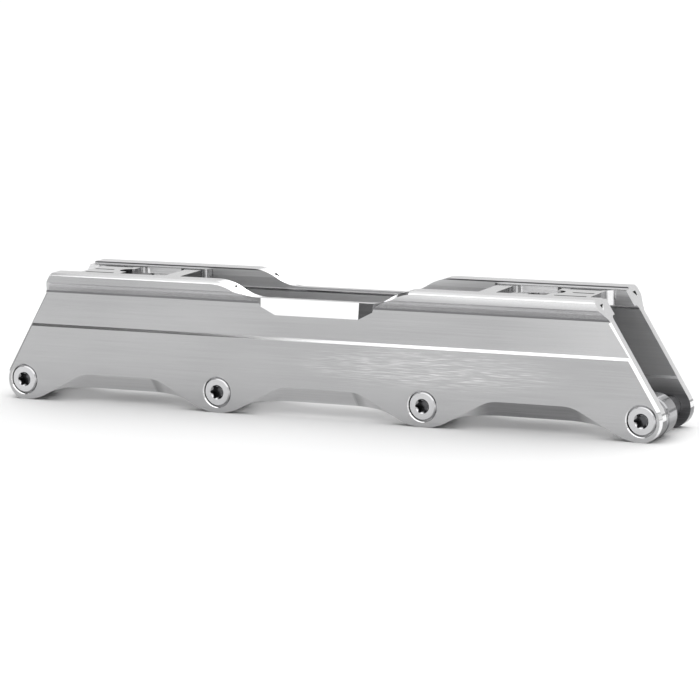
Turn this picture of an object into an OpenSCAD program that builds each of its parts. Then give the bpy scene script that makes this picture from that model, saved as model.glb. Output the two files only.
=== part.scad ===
// Four-wheel inline skate frame: an extruded and milled channel with its axles and spacers.
// X runs along the frame, Y across it, and Z is up. The origin lies under the middle of the
// frame, on the plane that its lobes stand on. Heights below are counted from the axle line.

/* [Wheels] */
// Distance from one axle to the next
axle_pitch = 82.5; // [80:0.5:86]
// Gap between the hub seats of the two walls
hub_gap = 24; // [23:0.5:25]

/* [Extruded profile] */
// Width across the lower walls
frame_w = 33; // [32.5:0.1:34]
// Height of the boot rails above the axle line
rail_h = 41.5; // [41:0.5:46]
// Width across the boot rails
rail_w = 40; // [38.5:0.5:44]
// Height of the upright outer side of a rail
rail_side_h = 3.5; // [3:0.1:4]
// Chamfer on the top outer edge of a rail
rail_chamfer = 1; // [0.4:0.1:1.2]
// Height of the step where the lower wall ends
step_h = 20.6; // [18:0.1:24]
// How far the lower wall stands proud of the upper one
step_depth = 0.6; // [0.4:0.1:0.8]
// Outward lean of the upper wall over its height
upper_lean = 0.4; // [0:0.1:0.6]
// Height of the hub seats above the axle line
hub_seat_h = 10; // [9:0.5:12]
// How far the hub seats stand proud inside
hub_seat_depth = 0.3; // [0.2:0.1:0.4]
// Drop from the rail tops to the web between them
web_drop = 0.8; // [0.6:0.1:1.2]
// Thickness of the web, of which the boot platforms are left
web_t = 5.3; // [4.5:0.1:6]
// Width of the hollow channel inside a rail
channel_w = 2.7; // [2:0.1:3]

/* [Ends and lobes] */
// Radius of the end lobes round their axles
lobe_r = 7.6; // [7.6:0.1:9]
// Radius of the lobe flanks beside the scallops
flank_r = 20; // [16:0.5:24]
// Lean of the frame ends from upright
end_lean = 30.5; // [26:0.5:34]
// Bevel on the outer edges of the ends
end_bevel = 1; // [0.6:0.1:1.4]
// Length over the trimmed outer corners of the rails
rail_l = 220; // [218:0.2:222]

/* [Scallops between the lobes] */
// Drop of a scallop's inner edge below the axle line
scallop_drop = 2.4; // [1.5:0.1:3]
// Radius where a scallop's inner edge leaves the lobe
scallop_r = 18; // [12:0.5:22]
// Height of a scallop's outer edge above the axle line
scallop_outer_h = 3.4; // [2:0.1:4.5]
// Corner radius of a scallop's outer edge
scallop_outer_r = 14; // [8:0.5:18]
// Slope of a scallop's outer edge beside the lobes
scallop_slope = 28; // [26:0.5:30]

/* [Saddle in the middle] */
// Drop from the rail tops to the saddle floor
saddle_drop = 5.9; // [5.2:0.1:6.2]
// Length of the saddle floor
saddle_floor_l = 41; // [36:1:46]
// Length of the saddle at the rail tops
saddle_top_l = 82; // [78:1:86]
// Drop from the saddle floor to the lower edge of the relief outside it
relief_drop = 5.8; // [4.5:0.1:6.5]
// Width of the wall's top that the relief leaves
relief_land = 2.4; // [2:0.1:2.8]
// Length of the level part of the relief
relief_level_l = 33.4; // [28:0.2:36]
// Length of the relief where it starts to flare
relief_flare_l = 45; // [42:0.2:48]
// Turn of the relief's flanks from the frame's length
relief_turn = 6; // [4:0.5:8]
// Turn of the relief's flared ends from the frame's length
relief_flare = 32; // [28:0.5:38]

/* [Boot platforms] */
// Distance between the two boot bolts
boot_pitch = 165; // [160:1:170]
// Length of a boot platform
platform_l = 42; // [38:1:46]
// Platform end nearest the middle of the frame
platform_start = 60; // [56:1:62]
// Width of the openings outside the boot platforms
end_bay_w = 19; // [17:0.5:21]
// Corner radius of the openings beside the boot platforms
bay_r = 3; // [2:0.5:4]
// Width of a boot bolt slot
bolt_slot_w = 6.4; // [6.2:0.1:6.6]
// Length of a boot bolt slot
bolt_slot_l = 14; // [11:0.5:16]
// Width of the grooves in a platform
groove_w = 1.3; // [1:0.1:1.6]
// Distance from the middle groove to the side grooves
groove_pitch = 7.4; // [6.5:0.1:8]
// Depth of the recess in a platform
recess_depth = 1.2; // [0.8:0.1:1.6]

/* [Axles] */
// Diameter of the axle sleeves
axle_d = 8; // [7.9:0.02:8]
// Diameter of the axle heads
head_d = 10.4; // [9.8:0.1:10.6]
// Thickness of the axle heads
head_t = 1.8; // [1.5:0.1:2.2]
// Width of the six-lobed drive recess
drive_w = 5.4; // [4.5:0.1:5.6]
// Depth of the drive recess in a sleeve
drive_h = 3; // [1.5:0.1:3.5]
// Diameter of the screws in the sleeves
screw_d = 6; // [5:0.1:6]
// Length of the screw shanks
screw_l = 11; // [8:0.5:14]
// Diameter of the spacers
spacer_d = 15; // [12:0.5:15]
// Length of the spacers
spacer_l = 11; // [8:0.5:14]
// Depth of the ring groove near one end of a spacer
ring_depth = 0.5; // [0.3:0.1:0.8]

/* [Fits] */
// Clearance round an axle in its bores
axle_fit = 0.05; // [0.02:0.01:0.1]
// Clearance round a head in its recess
head_fit = 0.25; // [0.1:0.05:0.4]
// End play of a seated head
seat_gap = 0.05; // [0:0.01:0.1]
// Gap between a spacer and the wall beside it
spacer_gap = 0.3; // [0.2:0.05:0.5]

/* [Hidden] */
$fn = 72;

// Walls
wall_y = frame_w / 2;
seat_y = hub_gap / 2;
inner_y = seat_y + hub_seat_depth;
upper_y = wall_y - step_depth;
rail_y = rail_w / 2;
milled_y = inner_y + 0.4;
platform_h = rail_h - web_drop;
web_h = platform_h - web_t;
step_chamfer = 1;
lead_in = 0.4;
through = 1;

// Ends and lobes
last_axle = 1.5 * axle_pitch;
flank_h = flank_r - lobe_r;
end_top_x = last_axle + lobe_r / cos(end_lean) - rail_h * tan(end_lean);

// Scallops: where a flank runs into the corner arc of the inner edge
scallop_reach = flank_h + scallop_drop + scallop_r;
scallop_x = sqrt(pow(flank_r + scallop_r, 2) - pow(scallop_reach, 2));
scallop_turn = asin(scallop_x / (flank_r + scallop_r));

// Saddle, with the lean of the relief that brings it out at the wall's face
saddle_h = rail_h - saddle_drop;
relief_y = milled_y + relief_land;
relief_lean = atan2(upper_y + upper_lean * 0.6 - relief_y, relief_drop);

// Platforms
platform_end = platform_start + platform_l;

function axle_x(i) = (i - 2.5) * axle_pitch;

function arc(x, z, r, from, to, steps = 12) =
    [for (i = [0:steps]) let (a = from + (to - from) * i / steps) [x + r * cos(a), z + r * sin(a)]];

function bezier(a, b, c, d, steps = 12) =
    [for (i = [0:steps]) let (t = i / steps, s = 1 - t)
        s * s * s * a + 3 * s * s * t * b + 3 * s * t * t * c + t * t * t * d];

function flipped(points) = [for (i = [len(points) - 1:-1:0]) [-points[i].x, points[i].y]];

// Places its children by their height above the axle line
module from_axle_line() {
    translate([0, 0, lobe_r])
        children();
}

// Turns a drawing in length and height into a solid across the frame
module across(from, to) {
    translate([0, to, 0])
        rotate([90, 0, 0])
            linear_extrude(height = to - from)
                children();
}

module both_walls() {
    for (side = [0, 1])
        mirror([0, side, 0])
            children();
}

module both_ends() {
    for (side = [0, 1])
        mirror([side, 0, 0])
            children();
}

// Cross-section of the extrusion, before milling
function half_profile() = let (fillet = 1.5, under = rail_h - rail_side_h, rise = rail_y - upper_y - upper_lean) concat(
    [[seat_y, -lobe_r - through], [wall_y, -lobe_r - through]],
    [[wall_y, step_h], [upper_y, step_h + step_chamfer]],
    [[upper_y + upper_lean * 0.95, under - rise - 0.6], [upper_y + upper_lean + 0.2, under - rise + 0.2]],
    [[rail_y, under], [rail_y, rail_h - rail_chamfer], [rail_y - rail_chamfer, rail_h]],
    [[milled_y, rail_h], [milled_y, platform_h], [0, platform_h], [0, web_h]],
    arc(inner_y - fillet, web_h - fillet, fillet, 90, 0, 6),
    [[inner_y, hub_seat_h + 3 * hub_seat_depth], [seat_y, hub_seat_h]]
);

module half_section() {
    difference() {
        polygon(half_profile());
        translate([(milled_y + rail_y) / 2 - 0.9, rail_h - 1.8])
            polygon([[-channel_w / 2, 0], [channel_w / 2, 0], [channel_w * 0.3, -channel_w * 0.7]]);
    }
}

module extrusion() {
    rotate([90, 0, 90])
        translate([0, 0, -last_axle - 2 * lobe_r])
            linear_extrude(height = 2 * last_axle + 4 * lobe_r)
                union() {
                    half_section();
                    mirror([1, 0])
                        half_section();
                }
}

// Outline of the frame seen from the side, at the inner edges
function flank(x, side) = arc(x, flank_h, flank_r, -90, -90 + side * scallop_turn, 6);

function scallop_corner(x) = arc(x + scallop_x, -scallop_drop - scallop_r, scallop_r, 90 + scallop_turn, 90, 6);

// Lower edge from the bottom of one lobe to the middle of the scallop on its right
function half_scallop(x) = concat(flank(x, 1), scallop_corner(x));

function mirrored_about(points, x) = [for (i = [len(points) - 1:-1:0]) [2 * x - points[i].x, points[i].y]];

function lower_edge() = [for (i = [1:3]) for (p = concat(half_scallop(axle_x(i)),
    mirrored_about(half_scallop(axle_x(i)), axle_x(i) + axle_pitch / 2))) p];

function end_lobe() = concat(arc(last_axle, 0, lobe_r, -90, end_lean, 24), [[end_top_x, rail_h]]);

// Half of the saddle, from the rail top down to the floor
function half_saddle() = let (
        run = (saddle_top_l - saddle_floor_l) / 2,
        fall = rail_h - saddle_h,
        r = (run * run + fall * fall) / (4 * fall),
        turn = 2 * atan(fall / run)
    ) concat(
        arc(saddle_top_l / 2, rail_h - r, r, 90, 90 + turn),
        arc(saddle_floor_l / 2, saddle_h + r, r, -90 + turn, -90)
    );

module side_outline() {
    polygon(concat(
        lower_edge(),
        end_lobe(),
        half_saddle(),
        flipped(half_saddle()),
        flipped(end_lobe())
    ));
}

// A cut whose outline is given on an upright face at face_y, with its heights counted from
// face_h. It rises outwards by the angle slant, or falls where that is below zero.
module slanted_cut(face_y, face_h, slant, outline) {
    translate([0, face_y, face_h])
        rotate([90 + slant, 0, 0])
            translate([0, 0, -12])
                linear_extrude(height = 24)
                    polygon([for (p = outline) [p.x, p.y * cos(slant)]]);
}

// Bevelled scallop between two lobes, cut higher at the outer face
function scallop_bevel() = let (
        tangent_x = flank_r * sin(scallop_slope),
        tangent_h = flank_h - flank_r * cos(scallop_slope),
        low = scallop_outer_h - scallop_outer_r,
        reach = scallop_outer_r + (low - tangent_h) * cos(scallop_slope),
        corner_x = tangent_x + reach / sin(scallop_slope) - axle_pitch / 2
    ) concat(
        [[tangent_x - axle_pitch / 2, -4 * lobe_r], [tangent_x - axle_pitch / 2, tangent_h]],
        arc(corner_x, low, scallop_outer_r, 90 + scallop_slope, 90, 10)
    );

module scallop_bevels() {
    slant = atan2(scallop_outer_h + scallop_drop, wall_y - seat_y);
    for (x = [-axle_pitch, 0, axle_pitch])
        translate([x, 0, 0])
            slanted_cut(wall_y, 0, slant, concat(scallop_bevel(), flipped(scallop_bevel())));
}

// Chamfer along the saddle that carries on the chamfer of the rails
module saddle_chamfers() {
    edge = [for (p = half_saddle()) [p.x, p.y - saddle_h - rail_chamfer]];
    above = [[saddle_top_l / 2, 2 * saddle_drop]];
    slanted_cut(rail_y, saddle_h, -45, concat(above, edge, flipped(edge), flipped(above)));
}

// All that lies outside one facet of the relief, which passes through a point of the land
module outside_facet(x, y, turn) {
    translate([x, y, saddle_h])
        rotate([0, 0, turn])
            rotate([relief_lean, 0, 0])
                translate([-rail_l, 0, -rail_h])
                    cube([2 * rail_l, rail_w, 2 * rail_h]);
}

// Relief outside the saddle: a level facet, two flanks and two flared ends
module saddle_reliefs() {
    level_x = relief_level_l / 2;
    flare_x = relief_flare_l / 2;
    flare_y = relief_y + (flare_x - level_x) * tan(relief_turn);
    intersection() {
        outside_facet(0, relief_y, 0);
        outside_facet(level_x, relief_y, relief_turn);
        mirror([1, 0, 0])
            outside_facet(level_x, relief_y, relief_turn);
        outside_facet(flare_x, flare_y, relief_flare);
        mirror([1, 0, 0])
            outside_facet(flare_x, flare_y, relief_flare);
    }
}

// Trims the outer corner that a rail would have at its end
module rail_trim() {
    translate([rail_l / 2, rail_y, rail_h - rail_side_h - 2.5])
        rotate([0, 0, 45])
            translate([0, -rail_w, 0])
                cube([rail_w, 2 * rail_w, rail_h]);
}

// Bevel along the outer edge of an end, fading out round the lobe
module end_bevels() {
    bevel_y = wall_y - end_bevel;
    fade = 0.7 * end_bevel;
    round_r = lobe_r + fade;
    bevel_l = (rail_h - rail_side_h - 4.4) / cos(end_lean) - lobe_r * tan(end_lean);
    translate([last_axle, 0, 0]) {
        rotate([0, -end_lean, 0])
            translate([lobe_r, bevel_y, 0])
                rotate([0, 0, 45])
                    translate([0, -20, 0])
                        cube([20, 40, bevel_l]);
        difference() {
            translate([0, bevel_y, 0])
                rotate([0, -end_lean, 0])
                    translate([-fade, 0, -2 * lobe_r])
                        cube([2 * lobe_r, 2 * end_bevel, 2 * lobe_r]);
            rotate([0, -end_lean, 0])
                translate([-fade, bevel_y, 0])
                    rotate([-90, 0, 0])
                        cylinder(h = 4 * end_bevel, r1 = round_r, r2 = round_r - 4 * end_bevel);
            translate([-2 * lobe_r, 0, -2 * lobe_r])
                cube([2 * lobe_r, 2 * wall_y, 4 * lobe_r]);
        }
    }
}

// Openings milled through the web, which leave the two boot platforms
module windows() {
    translate([0, 0, web_h - 0.6])
        linear_extrude(height = rail_h) {
            rounded(2 * platform_start, 2 * milled_y, bay_r);
            for (side = [-1, 1])
                translate([side * (platform_end + last_axle / 2), 0])
                    rounded(last_axle, end_bay_w, bay_r);
        }
}

// Rounded rectangle, for pockets and slots
module rounded(l, w, r) {
    square([l - 2 * r, w], center = true);
    square([l, w - 2 * r], center = true);
    for (x = [-1, 1])
        for (y = [-1, 1])
            translate([x * (l / 2 - r), y * (w / 2 - r)])
                circle(r = r);
}

module slot(l, w, depth) {
    translate([0, 0, -depth])
        linear_extrude(height = depth + rail_h)
            union() {
                square([l - w, w], center = true);
                for (x = [-1, 1])
                    translate([x * (l - w) / 2, 0])
                        circle(d = w);
            }
}

// What is milled into one boot platform
module platform_cuts() {
    recess_l = 19;
    recess_w = 2 * (groove_pitch + 2.4);
    groove_end = platform_end - 1.5;
    groove_depth = 1.2;
    translate([boot_pitch / 2, 0, platform_h - web_t / 2])
        slot(bolt_slot_l, bolt_slot_w, web_t);
    translate([boot_pitch / 2 - 6.5, 0, platform_h - recess_depth])
        linear_extrude(height = rail_h)
            rounded(recess_l, recess_w, bay_r);
    for (y = [-1, 0, 1])
        let (groove_l = y == 0 ? 8 : 12)
            translate([groove_end - groove_l, y * groove_pitch - groove_w / 2, platform_h - groove_depth])
                cube([groove_l, groove_w, rail_h]);
}

// Bore and head recess for one axle, in one wall
module axle_seat() {
    seat = wall_y - head_t - seat_gap;
    r = head_d / 2 + head_fit;
    rotate([-90, 0, 0]) {
        cylinder(h = 2 * rail_w, d = axle_d + 2 * axle_fit);
        translate([0, 0, seat])
            cylinder(h = rail_w, r = r);
        translate([0, 0, wall_y - lead_in])
            cylinder(h = 2 * lead_in, r1 = r, r2 = r + 2 * lead_in);
    }
}

module frame_body() {
    color("silver")
        from_axle_line()
            difference() {
                intersection() {
                    extrusion();
                    across(-rail_w, rail_w)
                        side_outline();
                }
                windows();
                both_ends()
                    platform_cuts();
                both_walls() {
                    scallop_bevels();
                    saddle_chamfers();
                    saddle_reliefs();
                    both_ends() {
                        end_bevels();
                        rail_trim();
                    }
                    for (i = [1:4])
                        translate([axle_x(i), 0, 0])
                            axle_seat();
                }
            }
}

// Six-lobed drive recess, drawn flat
module drive() {
    lobe = drive_w * 0.12;
    union() {
        circle(d = drive_w * 0.76);
        for (a = [0:60:300])
            rotate(a)
                translate([drive_w / 2 - lobe, 0])
                    circle(r = lobe);
    }
}

// Head on its shank, with the top of the head towards -Z and the drive recess from there
module headed(shank_d, shank_l, recess_h) {
    edge = 0.5;
    difference() {
        union() {
            cylinder(h = edge, d1 = head_d - 2 * edge, d2 = head_d);
            translate([0, 0, edge])
                cylinder(h = head_t - edge, d = head_d);
            translate([0, 0, head_t])
                cylinder(h = shank_l, d = shank_d);
        }
        translate([0, 0, -through])
            linear_extrude(height = through + recess_h)
                drive();
        translate([0, 0, -edge])
            cylinder(h = 2 * edge, d1 = drive_w + 2 * edge, d2 = drive_w - 2 * edge);
    }
}

// Sleeve with its head in the near wall and its open end in the far wall
module axle_sleeve(i) {
    l = 2 * wall_y - 2 * head_t - 2 * seat_gap - spacer_gap;
    bore_l = screw_l + 2;
    color("gainsboro")
        from_axle_line()
            translate([axle_x(i), -wall_y, 0])
                rotate([-90, 0, 0])
                    difference() {
                        headed(axle_d, l, drive_h);
                        translate([0, 0, head_t + l - bore_l])
                            cylinder(h = bore_l + through, d = screw_d + 2 * axle_fit);
                    }
}

// Screw with its head in the far wall and its shank in the sleeve
module axle_screw(i) {
    color("gainsboro")
        from_axle_line()
            translate([axle_x(i), wall_y, 0])
                rotate([90, 0, 0])
                    headed(screw_d, screw_l, head_t * 0.75);
}

// Outline of a spacer, as radius and length from the end beside the wall
function spacer_outline() = let (r = spacer_d / 2, edge = 0.5, rim = 1.6, ring_w = 1) [
    [0, 0],
    [r - edge, 0],
    [r, edge],
    [r, rim],
    [r - ring_depth, rim + ring_depth],
    [r - ring_depth, rim + ring_depth + ring_w],
    [r, rim + 2 * ring_depth + ring_w],
    [r, spacer_l - edge],
    [r - edge, spacer_l],
    [0, spacer_l]
];

// Spacer on the sleeve, where the wheel's hub goes
module axle_spacer(i) {
    color("lightgray")
        from_axle_line()
            translate([axle_x(i), -seat_y + spacer_gap, 0])
                rotate([-90, 0, 0])
                    difference() {
                        rotate_extrude()
                            polygon(spacer_outline());
                        translate([0, 0, -through])
                            cylinder(h = spacer_l + 2 * through, d = axle_d + 2 * axle_fit);
                    }
}

frame_body();
for (i = [1:4]) {
    axle_sleeve(i);
    axle_screw(i);
    axle_spacer(i);
}
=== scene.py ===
import math

import bpy
from mathutils import Matrix, Vector


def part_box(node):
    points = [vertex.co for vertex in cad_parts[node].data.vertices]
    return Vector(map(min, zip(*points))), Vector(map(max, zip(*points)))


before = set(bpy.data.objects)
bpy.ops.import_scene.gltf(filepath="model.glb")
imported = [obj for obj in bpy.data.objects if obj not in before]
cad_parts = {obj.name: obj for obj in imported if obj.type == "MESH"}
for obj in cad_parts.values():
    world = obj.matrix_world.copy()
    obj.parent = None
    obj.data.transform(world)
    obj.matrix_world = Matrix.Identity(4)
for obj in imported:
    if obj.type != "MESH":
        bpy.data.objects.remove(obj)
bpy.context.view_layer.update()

axleLine = sum(corner[2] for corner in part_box("axle_sleeve_1")) / 2   # height of the axles
print("frame loaded, axle line at", round(axleLine * 1000, 2), "mm")


# small helpers for building materials, where tree is the node tree that a node goes into

def newMaterial(name):
    material = bpy.data.materials.new(name)
    material.use_nodes = True
    tree = material.node_tree
    tree.nodes.clear()
    output = tree.nodes.new("ShaderNodeOutputMaterial")
    shader = tree.nodes.new("ShaderNodeBsdfPrincipled")
    tree.links.new(shader.outputs["BSDF"], output.inputs["Surface"])
    return material, tree, shader


def feed(tree, socket, value):
    # the output of another node is linked to the socket, and a plain value is set on it
    if isinstance(value, bpy.types.NodeSocket):
        tree.links.new(value, socket)
    else:
        socket.default_value = value


def calculate(tree, operation, *values):
    node = tree.nodes.new("ShaderNodeMath")
    node.operation = operation
    for socket, value in zip(node.inputs, values):
        feed(tree, socket, value)
    return node.outputs["Value"]


def ramp(tree, value, start, end, low=0, high=1):
    # low where the value is at its start, high where it is at its end, and level beyond both
    node = tree.nodes.new("ShaderNodeMapRange")
    names = ("Value", "From Min", "From Max", "To Min", "To Max")
    for name, given in zip(names, (value, start, end, low, high)):
        feed(tree, node.inputs[name], given)
    return node.outputs["Result"]


def mixColours(tree, factor, low, high):
    node = tree.nodes.new("ShaderNodeMix")
    node.data_type = "RGBA"
    for name, value in (("Factor", factor), ("A", low), ("B", high)):
        feed(tree, node.inputs[name], value)
    return node.outputs["Result"]


def split(tree, vector):
    node = tree.nodes.new("ShaderNodeSeparateXYZ")
    feed(tree, node.inputs["Vector"], vector)
    return node.outputs


def stretchedNoise(tree, stretch, detail):
    mapping = tree.nodes.new("ShaderNodeMapping")
    feed(tree, mapping.inputs["Vector"], tree.nodes.new("ShaderNodeTexCoord").outputs["Object"])
    feed(tree, mapping.inputs["Scale"], stretch)
    noise = tree.nodes.new("ShaderNodeTexNoise")
    feed(tree, noise.inputs["Vector"], mapping.outputs["Vector"])
    feed(tree, noise.inputs["Scale"], 1.0)
    feed(tree, noise.inputs["Detail"], detail)
    return noise.outputs["Fac"]


noiseReach = (0.3, 0.7)    # most of a noise lies between these


def noiseSwing(tree, noise, low, high):
    return ramp(tree, noise, *noiseReach, low, high)


def bump(tree, height, strength, distance):
    node = tree.nodes.new("ShaderNodeBump")
    for name, value in (("Height", height), ("Strength", strength), ("Distance", distance)):
        feed(tree, node.inputs[name], value)
    return node.outputs["Normal"]


# frame body: satin outside walls, duller inside walls, and bright cut faces and edges, with painted shade
# and painted highlights laid over them in zones

bodyFinish = {
    "cutTone": 0.84,
    "cutRoughness": 0.11,
    "downShadeTone": 0.57,                     # painted shade: tone of the cut faces that look down
    "innerTone": 0.72,
    "innerRoughness": 0.40,
    "outerTone": 0.45,
    "outerRoughness": 0.24,
    "roughnessSwing": 0.03,
    "blueTint": 0.005,                    # how much more blue there is than red or green
    "brushStretch": (30, 900, 2600),      # fine lines along the frame
    "brushDetail": 3.0,
    "brushTone": 0.03,
    "cloudStretch": (14, 14, 45),         # broad uneven patches
    "cloudDetail": 2.0,
    "cloudTone": 0.025,
    "nickStretch": (130, 500, 5200),      # short bright nicks along the frame
    "nickDetail": 2.0,
    "nickFrom": (0.51, 0.76),
    "nickTone": 0.44,
    "nickHeight": 0.8,                    # against the height of the fine lines
    "rubbedPlace": (0.044, 0.0132),       # middle of the rubbed patch, above the axle line
    "rubbedSize": (0.056, 0.0082),
    "rubbedFade": (1.0, 0.1),             # share of the patch's size, squared
    "bumpStrength": 0.05,
    "bumpDistance": 0.0002,
}

# a step names a measure of bodyMeasures, where a zone starts in it and where the zone is full
bodySides = {
    "down": ("up", -0.3, -0.5),
    "flat": ("sideways", 0.988, 0.996),
    "outer": ("fromCentre", 0.0138, 0.0146),
}

# name: tone, and the steps that are all multiplied
bodyZones = {
    # cut faces
    # painted shade on the right scallop's down-looking cut faces
    "rightScallopShade": (0.28, ("along", 0.058, 0.066), ("along", 0.108, 0.100), ("height", 0.0100, 0.0090)),
    # painted shade on the lobe ends where they turn under
    "lobeEndShade": (0.13, ("up", 0.06, -0.02), ("endwise", 0.25, 0.35), ("sideways", 0.35, 0.25)),
    # painted shade: cut faces that look straight up get a darker tone of their own
    "levelFaceShade": (0.62, ("up", 0.97, 0.98)),
    # painted shade along the rails' outer chamfers
    "railChamferShade": (0.52, ("sideways", 0.60, 0.66), ("height", 0.0407, 0.0409)),
    "leftFacetShade": (0.28, ("sideways", 0.76, 0.80), ("right", -0.06, -0.09)),    # painted shade on the saddle's facets that look left
    # inside walls
    # painted shade low inside the frame, round the axles
    "roundAxleShade": (0.17, ("height", 0.0104, 0.0045)),
    "milledTop": (0.84, ("height", 0.0385, 0.0387)),
    "shadowLine": (0.14, ("height", 0.04095, 0.04105)),    # along the rails' inner edges
    # outside walls
    # painted highlight on the upper right of the outside walls
    "upperRightHighlight": (0.56, ("height", 0.0205, 0.0215), ("along", 0.07, 0.11)),
    # painted highlight on the rail heads' outer sides, growing from the middle towards the right end
    "railHighlight": (0.76, ("height", 0.0378, 0.0400), ("along", 0.0, 0.06)),
    # over all of them
    # painted shade in the hollow under the rail heads
    "underRailShade": (0.20, ("sideways", 0.92, 0.94), ("up", -0.10, -0.16)),
    # painted shade in the grooves
    "grooves": (0.12, ("fromMiddle", 0.0868, 0.0870), ("fromMiddle", 0.1008, 0.1006),
                ("fromCentre", 0.0092, 0.0090), ("height", 0.04068, 0.04065), ("height", 0.0385, 0.0387)),
}


def bodyMeasures(tree):
    normal = split(tree, tree.nodes.new("ShaderNodeNewGeometry").outputs["Normal"])
    place = split(tree, tree.nodes.new("ShaderNodeTexCoord").outputs["Object"])
    return {
        # how squarely a face looks this way: 1 squarely, 0 not at all, and below 0 away from it
        "up": normal["Z"],
        "right": normal["X"],
        "endwise": calculate(tree, "ABSOLUTE", normal["X"]),
        "sideways": calculate(tree, "ABSOLUTE", normal["Y"]),
        # where it lies, in metres
        "along": place["X"],
        "fromMiddle": calculate(tree, "ABSOLUTE", place["X"]),
        "fromCentre": calculate(tree, "ABSOLUTE", place["Y"]),
        "height": calculate(tree, "SUBTRACT", place["Z"], axleLine),
    }


def stepMask(tree, measures, step):
    measure, start, full = step
    return ramp(tree, measures[measure], start, full)


def bodyGrey(tone):
    return (tone, tone, tone + bodyFinish["blueTint"], 1)


def paint(tree, measures, colour, *zones):
    # lays the zones over a colour, one after the other
    for zone in zones:
        tone, firstStep, *steps = bodyZones[zone]
        mask = stepMask(tree, measures, firstStep)
        for step in steps:
            mask = calculate(tree, "MULTIPLY", mask, stepMask(tree, measures, step))
        colour = mixColours(tree, mask, colour, bodyGrey(tone))
    return colour


def rubbedMask(tree, measures):
    # 1 in the middle of the long rubbed patch of the walls, fading to 0 at its edge
    s = bodyFinish
    squares = []
    for measure, middle, half in zip(("along", "height"), s["rubbedPlace"], s["rubbedSize"]):
        offset = calculate(tree, "SUBTRACT", measures[measure], middle)
        offset = calculate(tree, "DIVIDE", offset, half)
        squares.append(calculate(tree, "MULTIPLY", offset, offset))
    return ramp(tree, calculate(tree, "ADD", *squares), *s["rubbedFade"])


def bodyMetal():
    s = bodyFinish
    material, tree, shader = newMaterial("milledAluminium")
    measures = bodyMeasures(tree)
    down = stepMask(tree, measures, bodySides["down"])
    flat = stepMask(tree, measures, bodySides["flat"])
    outer = stepMask(tree, measures, bodySides["outer"])

    # painted shade on the cut faces that look down, darker still on the right scallop
    shadedDownFaces = paint(tree, measures, bodyGrey(s["downShadeTone"]), "rightScallopShade")
    cutFaces = mixColours(tree, down, bodyGrey(s["cutTone"]), shadedDownFaces)
    # painted shade on the lobe ends, the up-looking faces, the rail chamfers and the saddle's left facets
    cutFaces = paint(tree, measures, cutFaces, "lobeEndShade", "levelFaceShade", "railChamferShade", "leftFacetShade")
    # painted shade low round the axles and along the rails' inner edges
    innerWalls = paint(tree, measures, bodyGrey(s["innerTone"]), "roundAxleShade", "milledTop", "shadowLine")
    # painted highlights on the outside walls
    outerWalls = paint(tree, measures, bodyGrey(s["outerTone"]), "upperRightHighlight", "railHighlight")
    walls = mixColours(tree, outer, innerWalls, outerWalls)
    colour = mixColours(tree, flat, cutFaces, walls)
    # painted shade under the rails and in the grooves
    colour = paint(tree, measures, colour, "underRailShade", "grooves")
    wallRoughness = ramp(tree, outer, 0, 1, s["innerRoughness"], s["outerRoughness"])
    roughness = ramp(tree, flat, 0, 1, s["cutRoughness"], wallRoughness)

    brush = stretchedNoise(tree, s["brushStretch"], s["brushDetail"])
    cloud = stretchedNoise(tree, s["cloudStretch"], s["cloudDetail"])
    nick = ramp(tree, stretchedNoise(tree, s["nickStretch"], s["nickDetail"]), *s["nickFrom"])
    nick = calculate(tree, "MULTIPLY", nick, rubbedMask(tree, measures))
    nick = calculate(tree, "MULTIPLY", nick, flat)
    tone = calculate(tree, "MULTIPLY", nick, s["nickTone"])
    for noise, swing in ((brush, s["brushTone"]), (cloud, s["cloudTone"])):
        tone = calculate(tree, "ADD", tone, noiseSwing(tree, noise, -swing, swing))
    toned = tree.nodes.new("ShaderNodeVectorMath")
    toned.operation = "ADD"
    for socket, value in zip(toned.inputs, (colour, tone)):
        feed(tree, socket, value)
    unevenness = noiseSwing(tree, brush, -s["roughnessSwing"], s["roughnessSwing"])
    relief = calculate(tree, "ADD", brush, calculate(tree, "MULTIPLY", nick, s["nickHeight"]))

    feed(tree, shader.inputs["Metallic"], 1.0)
    feed(tree, shader.inputs["Base Color"], toned.outputs["Vector"])
    feed(tree, shader.inputs["Roughness"], calculate(tree, "ADD", roughness, unevenness))
    feed(tree, shader.inputs["Normal"], bump(tree, relief, s["bumpStrength"], s["bumpDistance"]))
    return material


# axles and spacers: turned, so their fine rings run round the axle

axleFinish = {
    "colour": (0.66, 0.66, 0.67, 1),
    "downShadeColour": (0.34, 0.34, 0.345, 1),      # painted shade where the surface looks down
    "recessShadeColour": (0.10, 0.10, 0.105, 1),    # painted shade inside the drive recess of a head
    "recessRadius": (0.00274, 0.00268),
    "recessDepth": (0.0162, 0.0159),           # distance from the middle of the frame
    "roughness": (0.16, 0.26),
    "rings": 1500,                             # about so many in a metre
    "ringStrength": 0.03,
}

spacerFinish = {
    "colour": (0.40, 0.40, 0.41, 1),
    # painted shade where the spacer looks down
    "downShadeColour": (0.15, 0.15, 0.155, 1),
    "roughness": (0.10, 0.20),
    "rings": 1200,
    "ringStrength": 0.02,
}

turning = {
    "down": (0.05, -0.25),    # how far up a face looks, where its painted shade for down-looking faces starts and is full
    "ringDetail": 2.0,
    "ringHeight": 0.0001,
}


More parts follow.
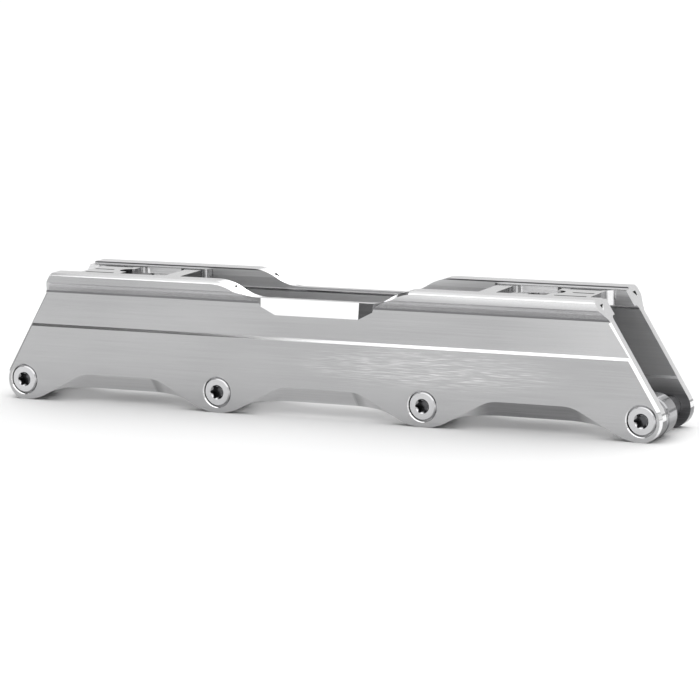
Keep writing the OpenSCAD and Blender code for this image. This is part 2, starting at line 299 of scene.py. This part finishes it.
def turnedMetal(name, s, centreX):
    material, tree, shader = newMaterial(name)
    fromAxle = tree.nodes.new("ShaderNodeMapping")
    feed(tree, fromAxle.inputs["Vector"], tree.nodes.new("ShaderNodeTexCoord").outputs["Object"])
    feed(tree, fromAxle.inputs["Location"], (-centreX, 0, -axleLine))
    place = split(tree, fromAxle.outputs["Vector"])
    normal = split(tree, tree.nodes.new("ShaderNodeNewGeometry").outputs["Normal"])
    squares = [calculate(tree, "MULTIPLY", place[axis], place[axis]) for axis in ("X", "Z")]
    radius = calculate(tree, "SQRT", calculate(tree, "ADD", *squares))

    # painted shade where a face looks down
    colour = mixColours(tree, ramp(tree, normal["Z"], *turning["down"]), s["colour"], s["downShadeColour"])
    # painted shade inside a head's drive recess
    if "recessShadeColour" in s:
        sideways = calculate(tree, "ABSOLUTE", place["Y"])
        recess = calculate(tree, "MULTIPLY", ramp(tree, radius, *s["recessRadius"]),
                           ramp(tree, sideways, *s["recessDepth"]))
        colour = mixColours(tree, recess, colour, s["recessShadeColour"])

    noise = tree.nodes.new("ShaderNodeTexNoise")
    noise.noise_dimensions = "1D"
    feed(tree, noise.inputs["W"], calculate(tree, "ADD", radius, place["Y"]))
    feed(tree, noise.inputs["Scale"], s["rings"])
    feed(tree, noise.inputs["Detail"], turning["ringDetail"])
    rings = noise.outputs["Fac"]

    feed(tree, shader.inputs["Metallic"], 1.0)
    feed(tree, shader.inputs["Base Color"], colour)
    feed(tree, shader.inputs["Roughness"], noiseSwing(tree, rings, *s["roughness"]))
    feed(tree, shader.inputs["Normal"], bump(tree, rings, s["ringStrength"], turning["ringHeight"]))
    return material


def dress(node, material):
    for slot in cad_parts[node].material_slots:
        slot.material = material


axleNumbers = (1, 2, 3, 4)

dress("frame_body", bodyMetal())
for number in axleNumbers:
    low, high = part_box(f"axle_sleeve_{number}")
    centreX = (low[0] + high[0]) / 2
    axleMetal = turnedMetal(f"turnedAxle{number}", axleFinish, centreX)
    dress(f"axle_sleeve_{number}", axleMetal)
    dress(f"axle_screw_{number}", axleMetal)
    dress(f"axle_spacer_{number}", turnedMetal(f"turnedSpacer{number}", spacerFinish, centreX))
print("metals on")


# floor, light and camera

floorLook = {
    "size": 12.0,
    "colour": (0.9, 0.9, 0.9, 1),
    "roughness": 0.8,
    "specular": 0.1,
}


def makeFloor():
    s = floorLook
    half = s["size"] / 2
    mesh = bpy.data.meshes.new("floor")
    corners = [(-half, -half, 0), (half, -half, 0), (half, half, 0), (-half, half, 0)]
    mesh.from_pydata(corners, [], [(0, 1, 2, 3)])
    floor = bpy.data.objects.new("floor", mesh)
    bpy.context.scene.collection.objects.link(floor)
    material, tree, shader = newMaterial("paleFloor")
    feed(tree, shader.inputs["Base Color"], s["colour"])
    feed(tree, shader.inputs["Roughness"], s["roughness"])
    feed(tree, shader.inputs["Specular IOR Level"], s["specular"])
    mesh.materials.append(material)


studio = {
    "horizon": 0.42,         # brightness of the surroundings at the horizon and below it
    "above": 0.12,           # and higher than aboveFrom
    "aboveFrom": 0.45,
    # name: place, point it faces, width, height, brightness
    "boxes": {
        "overhead": ((1.45, 0.60, 2.2), (1.45, 0.60, 0), 5.8, 7.6, 1.42),
        "overheadLeft": ((-3.70, 0.60, 2.2), (-3.70, 0.60, 0), 2.4, 7.6, 1.42),
        "farFloor": ((-2.2, 3.6, 1.6), (-2.2, 3.6, 0), 4.0, 2.6, 0.80),
        "front": ((-0.50, -2.40, 0.80), (0, 0, 0.3), 2.0, 1.4, 0.95),
        "back": ((-0.90, 2.20, 0.80), (0, 0, 0.2), 2.6, 1.3, 0.50),
        "backRight": ((1.05, 2.20, 0.85), (0, 0, 0.2), 1.2, 1.3, 0.50),
        "right": ((2.30, -1.00, 0.55), (0, 0, 0.1), 1.4, 0.9, 0.55),
    },
}


def softBox(name, place, aim, width, height, brightness):
    lamp = bpy.data.lights.new(name, "AREA")
    lamp.shape = "RECTANGLE"
    lamp.size = width
    lamp.size_y = height
    lamp.energy = brightness * width * height * math.pi    # watts that give the box this brightness
    lampObject = bpy.data.objects.new(name, lamp)
    lampObject.location = place
    lampObject.rotation_euler = (Vector(aim) - Vector(place)).to_track_quat("-Z", "Y").to_euler()
    bpy.context.scene.collection.objects.link(lampObject)


def makeStudio():
    world = bpy.data.worlds.new("studio")
    bpy.context.scene.world = world
    world.use_nodes = True
    tree = world.node_tree
    direction = split(tree, tree.nodes.new("ShaderNodeTexCoord").outputs["Generated"])
    level = ramp(tree, direction["Z"], 0, studio["aboveFrom"], studio["horizon"], studio["above"])
    feed(tree, tree.nodes["Background"].inputs["Color"], level)
    for name, box in studio["boxes"].items():
        softBox(name, *box)
    bpy.context.scene.view_settings.view_transform = "Standard"


cameraView = {
    "azimuth": 26.34,        # degrees round from the front
    "elevation": 9.81,
    "roll": 1.34,
    "distance": 1.1331,
    "lens": 160.83,          # millimetres, on a sensor of the width below
    "sensor": 36,
    "nearest": 0.01,
    "aim": (0.0052, 0, 0.01551),   # above the axle line
}


def makeCamera():
    s = cameraView
    a, e, r = (math.radians(s[key]) for key in ("azimuth", "elevation", "roll"))
    back = Vector((math.sin(a) * math.cos(e), -math.cos(a) * math.cos(e), math.sin(e)))
    right = Vector((math.cos(a), math.sin(a), 0))
    up = back.cross(right)
    rolledRight = right * math.cos(r) - up * math.sin(r)
    rolledUp = right * math.sin(r) + up * math.cos(r)
    camera = bpy.data.cameras.new("photoView")
    camera.sensor_width = s["sensor"]
    camera.lens = s["lens"]
    camera.clip_start = s["nearest"]
    cameraObject = bpy.data.objects.new("photoView", camera)
    place = Vector(s["aim"]) + Vector((0, 0, axleLine)) + back * s["distance"]
    turn = Matrix((rolledRight, rolledUp, back)).transposed().to_4x4()
    cameraObject.matrix_world = Matrix.Translation(place) @ turn
    bpy.context.scene.collection.objects.link(cameraObject)
    bpy.context.scene.camera = cameraObject


makeFloor()
makeStudio()
makeCamera()
print("floor, light and camera ready")
